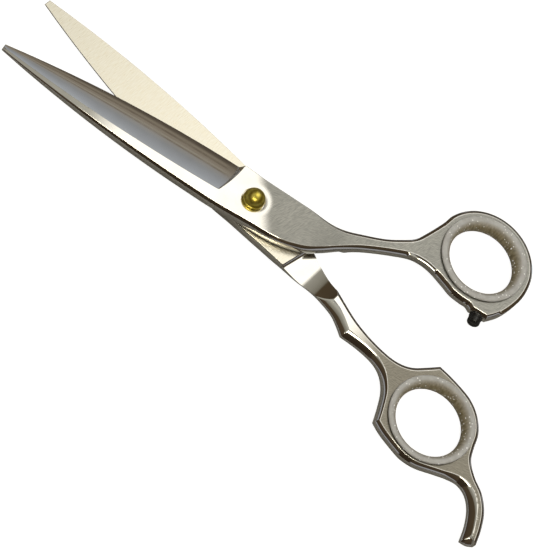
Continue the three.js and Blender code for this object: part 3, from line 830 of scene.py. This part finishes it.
def ring_insert(node, insert, hole, body, half_place):
    """A moulded grommet: a bulging inner wall and a rounded flange on each side of the metal ring."""
    name = f"{node}_moulded"
    bevel = 0.1
    overlap = 0.5
    waist = RING_BORE - FIT_GAP
    back = HANDLE_FRONT + FIT_GAP
    half = (insert["front"] - back) / 2
    outer = insert["radius"] - 0.01
    lip = insert["front"] - HANDLE_MIDDLE
    flange = [(waist, HANDLE_FRONT - overlap), (waist, back - bevel), (waist + bevel, back)]
    flange += arc((outer - half, back + half), half, -90, 90, 8)
    angles = np.radians(np.linspace(90, 0, 13))
    wall = [(hole + INSERT_FUNNEL * (1 - math.cos(a)), HANDLE_MIDDLE + lip * math.sin(a)) for a in angles]
    upper = flange + wall
    lower = [(radius, 2 * HANDLE_MIDDLE - level) for radius, level in upper[-2::-1]]
    mesh = turned_mesh(name, upper + lower, closed=True)
    place = half_place @ Matrix.Translation((insert["x"] * MM, insert["y"] * MM, 0))
    material = silicone(place.translation, hole)
    placed(name, mesh, material, body, [node], place)


def pivot_stud():
    """The half-round head, its neck and its shank."""
    end = STUD["back"]
    end_bevel = 0.2
    neck_end = THUMB_RIDE - 0.1
    seat = HEAD_SEAT + 0.05
    head = STUD["radius"] - 0.02
    head_bevel = 0.1
    top = STUD["front"]
    dome = arc((0, top - head), head, 0, 90, 24)
    dome[-1] = (0, top)
    profile = [
        (0, end), (SHANK_RADIUS - end_bevel, end), (SHANK_RADIUS, end + end_bevel),
        (SHANK_RADIUS, neck_end), (NECK_RADIUS, neck_end), (NECK_RADIUS, seat),
        (head - head_bevel, seat), (head, seat + head_bevel), *dome,
    ]
    mesh = turned_mesh("pivot_stud_turned", profile, closed=False)
    placed("pivot_stud_turned", mesh, brass(), "thumb_side", ["pivot_stud"])


def bumper():
    """A short rubber button with a collar against the lug, a core for its pin and a rounded, hollow tip."""
    length = LUG["end"] - BUMPER_TIP
    start = 0.1
    core_end = 2.0
    shoulder = BUMPER_RADIUS + 0.06
    collar = BUMPER_RADIUS + 0.14
    tip_round = 0.8
    profile = [(0, core_end), (BUMPER_CORE, core_end), (BUMPER_CORE, start), (shoulder, start)]
    profile += [(collar, 0.18), (collar, 0.5), (shoulder, 0.6), (BUMPER_RADIUS, 0.7)]
    profile += arc((BUMPER_RADIUS - tip_round, length - tip_round), tip_round, 0, 90, 8)
    profile += [(0.5, length), (0.3, length - 0.08), (0, length - 0.1)]
    mesh = turned_mesh("bumper_moulded", profile, closed=False)
    middle = (LUG["left"] + LUG["right"]) / 2 - 0.1
    seat = Matrix.Translation((middle * MM, LUG["end"] * MM, HANDLE_MIDDLE * MM))
    place = THUMB_PLACE @ (seat @ Matrix.Rotation(math.pi / 2, 4, "X"))
    placed("bumper_moulded", mesh, rubber(), "thumb_side", ["bumper"], place)


# -------- materials


def as_colour(value):
    """A colour as a socket takes it: an output, or three numbers and the alpha."""
    return value if isinstance(value, bpy.types.NodeSocket) else (*value, 1)


class Graph:
    """Short calls for building one material's nodes. Sizes of patterns are in millimetres."""

    def __init__(self, name):
        self.material = bpy.data.materials.new(name)
        self.material.use_nodes = True
        self.tree = self.material.node_tree
        self.shader = self.tree.nodes["Principled BSDF"]
        self.place = self.node("ShaderNodeTexCoord").outputs["Object"]

    def node(self, kind, inputs=(), **settings):
        """A new node with its settings, and with its inputs linked or set by name or number."""
        made = self.tree.nodes.new(kind)
        for key, value in settings.items():
            setattr(made, key, value)
        for key, value in dict(inputs).items():
            self.feed(made.inputs[key], value)
        return made

    def feed(self, socket, value):
        """Links an output to a socket, or sets a plain value on it."""
        if isinstance(value, bpy.types.NodeSocket):
            self.tree.links.new(value, socket)
        else:
            socket.default_value = value

    def stretched(self, size, angle=0.0):
        """Object coordinates in units of a size, the same for all axes or one for each, turned about Z."""
        scale = (np.broadcast_to(size, 3) * MM).tolist()
        inputs = {"Vector": self.place, "Scale": scale, "Rotation": (0, 0, math.radians(angle))}
        return self.node("ShaderNodeMapping", inputs, vector_type="TEXTURE").outputs["Vector"]

    def vectors(self, operation, *inputs):
        """A vector node, with Value and Vector outputs."""
        return self.node("ShaderNodeVectorMath", enumerate(inputs), operation=operation)

    def noise(self, size, detail=3.0, angle=0.0, distortion=0.0):
        """Noise whose features have about the given size."""
        vector = self.stretched(size, angle)
        inputs = {"Vector": vector, "Scale": 1.0, "Detail": detail, "Distortion": distortion}
        return self.node("ShaderNodeTexNoise", inputs).outputs["Fac"]

    def ranged(self, value, low, high, start=0.0, stop=1.0):
        """A value taken from one range to another, and kept within it."""
        inputs = enumerate((value, low, high, start, stop))
        return self.node("ShaderNodeMapRange", inputs).outputs["Result"]

    def maths(self, operation, *inputs):
        return self.node("ShaderNodeMath", enumerate(inputs), operation=operation).outputs["Value"]

    def mixed(self, share, first, second):
        """A colour between two others."""
        inputs = {"Factor": share, "A": as_colour(first), "B": as_colour(second)}
        return self.node("ShaderNodeMix", inputs, data_type="RGBA").outputs["Result"]

    def blended(self, share, first, second):
        """A number between two others."""
        inputs = {"Factor": share, "A": first, "B": second}
        return self.node("ShaderNodeMix", inputs, data_type="FLOAT").outputs["Result"]

    def varied(self, pattern, colours, span, roughness):
        """A colour and a roughness that follow a pattern, the colour over a span of it."""
        self.set(Base_Color=self.mixed(self.ranged(pattern, *span), *colours))
        self.set(Roughness=self.ranged(pattern, 0.3, 0.7, *roughness))

    def attribute(self, name):
        """The strength of a finish that the mesh marks."""
        return self.node("ShaderNodeAttribute", attribute_name=name).outputs["Fac"]

    def bump(self, height, distance):
        """Surface relief: heights of 0 to 1 stand for a depth given in millimetres."""
        inputs = {"Strength": 1.0, "Distance": distance * MM, "Height": height}
        self.set(Normal=self.node("ShaderNodeBump", inputs).outputs["Normal"])

    def set(self, **values):
        """Sets or links the shader's own sockets, named with underscores for spaces."""
        for name, value in values.items():
            given = as_colour(value) if name.endswith("Color") else value
            self.feed(self.shader.inputs[name.replace("_", " ")], given)


def steel(turn, satin_dark, satin_light):
    """Mirror-polished steel with satin, soft and cross-ground zones, which the mesh marks in attributes.

    The grain follows a half that is turned by the given angle; the satin's strokes lie between two colours.
    """
    g = Graph("forged_steel")
    along = math.degrees(turn)
    satin = g.attribute("satin")
    ground = g.attribute("ground")
    smudge = g.noise(6, 2)
    hairline = g.noise((2.5, 0.05, 0.3), 4, angle=along)
    steep = g.noise((1.6, 0.15, 1.0), 2, angle=along + 62, distortion=0.4)
    shallow = g.noise((1.6, 0.15, 1.0), 2, angle=along + 18, distortion=0.4)
    stroke = g.blended(g.ranged(g.noise(5, 1), 0.4, 0.6), steep, shallow)
    cloud = g.noise(3, 3)
    cross = g.noise((0.22, 2.4, 1.0), 4, angle=along)
    wear = g.ranged(g.noise(14, 1), 0.35, 0.65, 0.0, 0.35)
    satin_colour = g.mixed(wear, g.mixed(g.ranged(stroke, 0.36, 0.64), satin_dark, satin_light), satin_dark)
    ground_colour = g.mixed(g.ranged(cross, 0.34, 0.66), (0.79, 0.745, 0.625), (0.93, 0.905, 0.81))
    mirror_colour = g.mixed(g.ranged(smudge, 0.3, 0.7), (0.76, 0.745, 0.715), (0.82, 0.81, 0.785))
    g.set(Metallic=1.0)
    g.set(Base_Color=g.mixed(ground, g.mixed(satin, mirror_colour, satin_colour), ground_colour))
    mirror_rough = g.ranged(g.maths("MULTIPLY", smudge, cloud), 0.1, 0.4, 0.03, 0.08)
    mirror_rough = g.blended(g.attribute("soft"), mirror_rough, 0.17)
    rough = g.blended(satin, mirror_rough, g.ranged(stroke, 0.3, 0.7, 0.34, 0.46))
    g.set(Roughness=g.blended(ground, rough, g.ranged(cross, 0.3, 0.7, 0.27, 0.35)))
    relief = g.blended(satin, g.maths("MULTIPLY", hairline, 0.08), g.maths("MULTIPLY", stroke, 0.7))
    g.bump(g.blended(ground, relief, g.maths("MULTIPLY", cross, 0.5)), 0.006)
    return g.material


def brass():
    """Polished brass, slightly tarnished, with faint turning lines."""
    g = Graph("polished_brass")
    tarnish = g.noise(1.1, 4)
    g.set(Metallic=1.0)
    g.varied(tarnish, ((0.68, 0.53, 0.05), (0.94, 0.80, 0.20)), (0.3, 0.7), (0.28, 0.33))
    g.bump(g.noise((0.25, 0.25, 0.04), 3), 0.006)
    return g.material


def silicone(centre, hole):
    """Hazy silicone with fine silver flecks that glow as painted glints, pale on the flanges, and darker
    and browner on the wall round the hole as painted shade in the bore.

    The wall and the flanges are told apart by their distance from the ring's axis, through its centre.
    """
    g = Graph("glitter_silicone")
    cell_inputs = {"Vector": g.stretched(0.75), "Scale": 1.0}
    cells = g.node("ShaderNodeTexVoronoi", cell_inputs, feature="F1")
    pick = g.node("ShaderNodeSeparateColor", {"Color": cells.outputs["Color"]})
    near = g.ranged(cells.outputs["Distance"], 0.17, 0.26, 1.0, 0.0)
    chosen = g.ranged(pick.outputs["Red"], 0.60, 0.62)
    # the flecks' mask: their own pale colour, and also their painted glints through emission below
    fleck_and_glint = g.maths("MULTIPLY", near, chosen)
    from_centre = g.vectors("SUBTRACT", g.place, centre).outputs["Vector"]
    off_axis = g.vectors("MULTIPLY", from_centre, (1, 1, 0)).outputs["Vector"]
    radius = g.vectors("LENGTH", off_axis)
    wall_end = (hole + 0.2) * MM
    flange_start = (hole + INSERT_FUNNEL - 0.3) * MM
    flange = g.ranged(radius.outputs["Value"], wall_end, flange_start)
    cloud = g.noise(2.5, 4)
    streak = g.noise((0.6, 0.6, 6.0), 4)
    # painted shade: the wall round the hole is coloured dark brown-olive for the shade in the ring's bore
    wall = g.mixed(g.ranged(streak, 0.35, 0.65), (0.34, 0.285, 0.17), (0.60, 0.53, 0.38))
    pale = g.mixed(g.ranged(cloud, 0.35, 0.65), (0.70, 0.70, 0.715), (0.86, 0.87, 0.90))
    g.set(Base_Color=g.mixed(fleck_and_glint, g.mixed(flange, wall, pale), (0.98, 0.98, 0.96)))
    g.set(IOR=1.41, Coat_Weight=0.3, Coat_Roughness=0.12)
    g.set(Roughness=g.ranged(cloud, 0.3, 0.7, 0.3, 0.42))
    # painted glints: the flecks glow by emission, as though they caught the light
    g.set(Emission_Color=(1.0, 1.0, 0.98))
    g.set(Emission_Strength=g.maths("MULTIPLY", fleck_and_glint, 0.55))
    g.bump(g.noise(0.8, 3), 0.02)
    return g.material


def rubber():
    """Black rubber, softly worn."""
    g = Graph("black_rubber")
    wear = g.noise(0.7, 4)
    g.varied(wear, ((0.010, 0.010, 0.011), (0.035, 0.035, 0.036)), (0.35, 0.7), (0.16, 0.34))
    g.bump(g.noise(0.15, 3), 0.02)
    return g.material


def nylon():
    """Moulded nylon with a faint grain."""
    g = Graph("moulded_nylon")
    grain = g.noise(0.3, 4)
    g.varied(grain, ((0.76, 0.75, 0.69), (0.84, 0.83, 0.78)), (0.3, 0.7), (0.45, 0.6))
    g.bump(grain, 0.01)
    return g.material


def spring_steel():
    """Rolled spring steel with fine drawn lines."""
    g = Graph("spring_steel_strip")
    lines = g.noise((2.0, 0.06, 0.3), 4)
    g.set(Metallic=1.0)
    g.varied(lines, ((0.44, 0.45, 0.47), (0.56, 0.57, 0.59)), (0.3, 0.7), (0.25, 0.4))
    g.bump(lines, 0.008)
    return g.material


def dress_frame_nodes():
    """Better materials for the CAD nodes that stay."""
    finishes = {
        nylon(): ("pivot_bush", "glide_washer"),
        spring_steel(): ("spring_washer", "flat_washer", "bumper_stud"),
        brass(): ("tension_nut",),
    }
    for material, nodes in finishes.items():
        for node in nodes:
            frame["nodes"][node].material_slots[0].material = material


# -------- surroundings

FLOOR_RADIUS = 6.0  # metres
FLOOR_GAP = 0.0002  # metres
# colours of the studio along its middle, by the angle from the front horizon over the top
MIDDLE_STOPS = [
    (2, (0.026, 0.018, 0.011)), (20, (0.036, 0.025, 0.015)), (40, (0.036, 0.025, 0.015)),
    (54, (0.05, 0.037, 0.024)), (56, (7.5, 7.0, 5.5)), (64, (7.5, 7.0, 5.5)),
    (66, (0.085, 0.066, 0.045)), (84, (0.10, 0.085, 0.065)), (88, (0.20, 0.205, 0.215)),
    (97, (0.24, 0.25, 0.26)), (101, (1.52, 1.47, 1.33)), (132, (1.52, 1.47, 1.33)),
    (135, (0.46, 0.485, 0.51)), (140, (0.36, 0.38, 0.41)), (145, (0.29, 0.30, 0.31)),
    (148.5, (0.31, 0.295, 0.27)), (149, (0.17, 0.14, 0.11)), (150.5, (0.36, 0.33, 0.27)),
    (151.5, (0.21, 0.175, 0.14)), (152.5, (0.31, 0.27, 0.21)), (153.5, (0.11, 0.085, 0.065)),
    (155, (0.29, 0.25, 0.19)), (157, (0.10, 0.08, 0.06)), (166, (0.06, 0.048, 0.038)),
    (178, (0.06, 0.05, 0.042)),
]
# colours of the studio's sides, by the angle above the horizon
SIDE_STOPS = [
    (2, (0.05, 0.036, 0.024)), (5, (0.34, 0.34, 0.35)), (11, (0.34, 0.34, 0.35)),
    (14, (0.045, 0.032, 0.02)), (30, (0.07, 0.05, 0.03)), (44, (0.075, 0.053, 0.03)),
    (46, (0.20, 0.185, 0.145)), (54, (0.33, 0.315, 0.265)), (60, (0.47, 0.455, 0.39)),
    (75, (0.47, 0.46, 0.42)),
]


def floor():
    """A plain floor just under the shears: near white to the camera, and a mid grey in the reflections."""
    mesh = bpy.data.meshes.new("floor")
    work = bmesh.new()
    bmesh.ops.create_circle(work, cap_ends=True, segments=64, radius=FLOOR_RADIUS)
    work.to_mesh(mesh)
    work.free()
    made = bpy.data.objects.new("floor", mesh)
    bpy.context.scene.collection.objects.link(made)
    made.location.z = CAD_BOX[0].z - FLOOR_GAP
    g = Graph("pale_floor")
    seen = g.node("ShaderNodeLightPath").outputs["Is Camera Ray"]
    g.set(Base_Color=g.mixed(g.noise(400, 2), (0.34, 0.335, 0.33), (0.38, 0.375, 0.37)))
    g.set(Roughness=0.9, Emission_Color=(1.0, 1.0, 0.995))
    g.set(Emission_Strength=g.maths("MULTIPLY", seen, 0.95))
    mesh.materials.append(g.material)


def studio_light():
    """A broad soft box overhead behind the shears and a narrow strip by the camera, in a dim studio.

    rise is the angle from the front horizon, over the top, to the back horizon, as a share of half a turn.
    """
    world = bpy.data.worlds.new("studio")
    bpy.context.scene.world = world
    world.use_nodes = True
    tree = world.node_tree

    def node(kind, *inputs, **settings):
        """First output of a new node, with its first inputs linked or set in order."""
        made = tree.nodes.new(kind)
        for key, value in settings.items():
            setattr(made, key, value)
        for socket, value in zip(made.inputs, inputs):
            if isinstance(value, bpy.types.NodeSocket):
                tree.links.new(value, socket)
            else:
                socket.default_value = value
        return made.outputs[0]

    def ramp(value, stops):
        """Colours that follow a value through the given stops."""
        made = node("ShaderNodeValToRGB", value)
        elements = made.node.color_ramp.elements
        for place, colour in stops:
            elements.new(place).color = (*colour, 1)
        elements.remove(elements[0])
        elements.remove(elements[-1])
        return made

    direction = node("ShaderNodeTexCoord")
    axes = node("ShaderNodeSeparateXYZ", direction).node.outputs
    towards_front = node("ShaderNodeMath", axes["Y"], -1.0, operation="MULTIPLY")
    rise = node("ShaderNodeMath", axes["Z"], towards_front, operation="ARCTAN2")
    rise = node("ShaderNodeMath", rise, 1 / math.pi, operation="MULTIPLY")
    middle = ramp(rise, [(angle / 180, colour) for angle, colour in MIDDLE_STOPS])
    side = ramp(axes["Z"], [(math.sin(math.radians(angle)), colour) for angle, colour in SIDE_STOPS])
    middle_place, soft_edge = 0.08, 0.045
    half_width, half_width_behind = 0.215, 0.40
    off_middle = node("ShaderNodeMath", axes["X"], middle_place, operation="SUBTRACT")
    off_middle = node("ShaderNodeMath", off_middle, operation="ABSOLUTE")
    reach = node("ShaderNodeMapRange", rise, 132 / 180, 137 / 180, half_width, half_width_behind)
    reach_end = node("ShaderNodeMath", reach, soft_edge, operation="ADD")
    aside = node("ShaderNodeMapRange", off_middle, reach, reach_end, 0.0, 1.0)
    mixed = tree.nodes.new("ShaderNodeMix")
    mixed.data_type = "RGBA"
    for socket, value in (("Factor", aside), ("A", middle), ("B", side)):
        tree.links.new(value, mixed.inputs[socket])
    tree.links.new(mixed.outputs["Result"], tree.nodes["Background"].inputs["Color"])
    tree.nodes["Background"].inputs["Strength"].default_value = 1.0


def camera():
    """The photograph's viewpoint: high in front, rolled so that the blades point up and to the left."""
    target = Vector((15.06, -13.88, 4.15)) * MM
    azimuth, elevation, roll = (math.radians(angle) for angle in (-1.35, 59.9, 39.8))
    distance = 532.6 * MM
    back = Vector((
        math.cos(elevation) * math.sin(azimuth),
        -math.cos(elevation) * math.cos(azimuth),
        math.sin(elevation),
    ))
    data = bpy.data.cameras.new("camera")
    data.lens = 132.8
    data.sensor_width = 36
    data.clip_start = 0.01
    made = bpy.data.objects.new("camera", data)
    bpy.context.scene.collection.objects.link(made)
    turn = (-back).to_track_quat("-Z", "Y").to_matrix().to_4x4() @ Matrix.Rotation(roll, 4, "Z")
    made.matrix_world = Matrix.Translation(target + back * distance) @ turn
    bpy.context.scene.camera = made


# -------- the scene

bpy.context.scene.view_settings.view_transform = "Standard"
thumb_half()
finger_half()
ring_insert("thumb_ring_insert", THUMB_INSERT, THUMB_INSERT_HOLE, "thumb_side", THUMB_PLACE)
ring_insert("finger_ring_insert", FINGER_INSERT, FINGER_INSERT_HOLE, "finger_side", FINGER_PLACE)
pivot_stud()
bumper()
dress_frame_nodes()
floor()
studio_light()
camera()
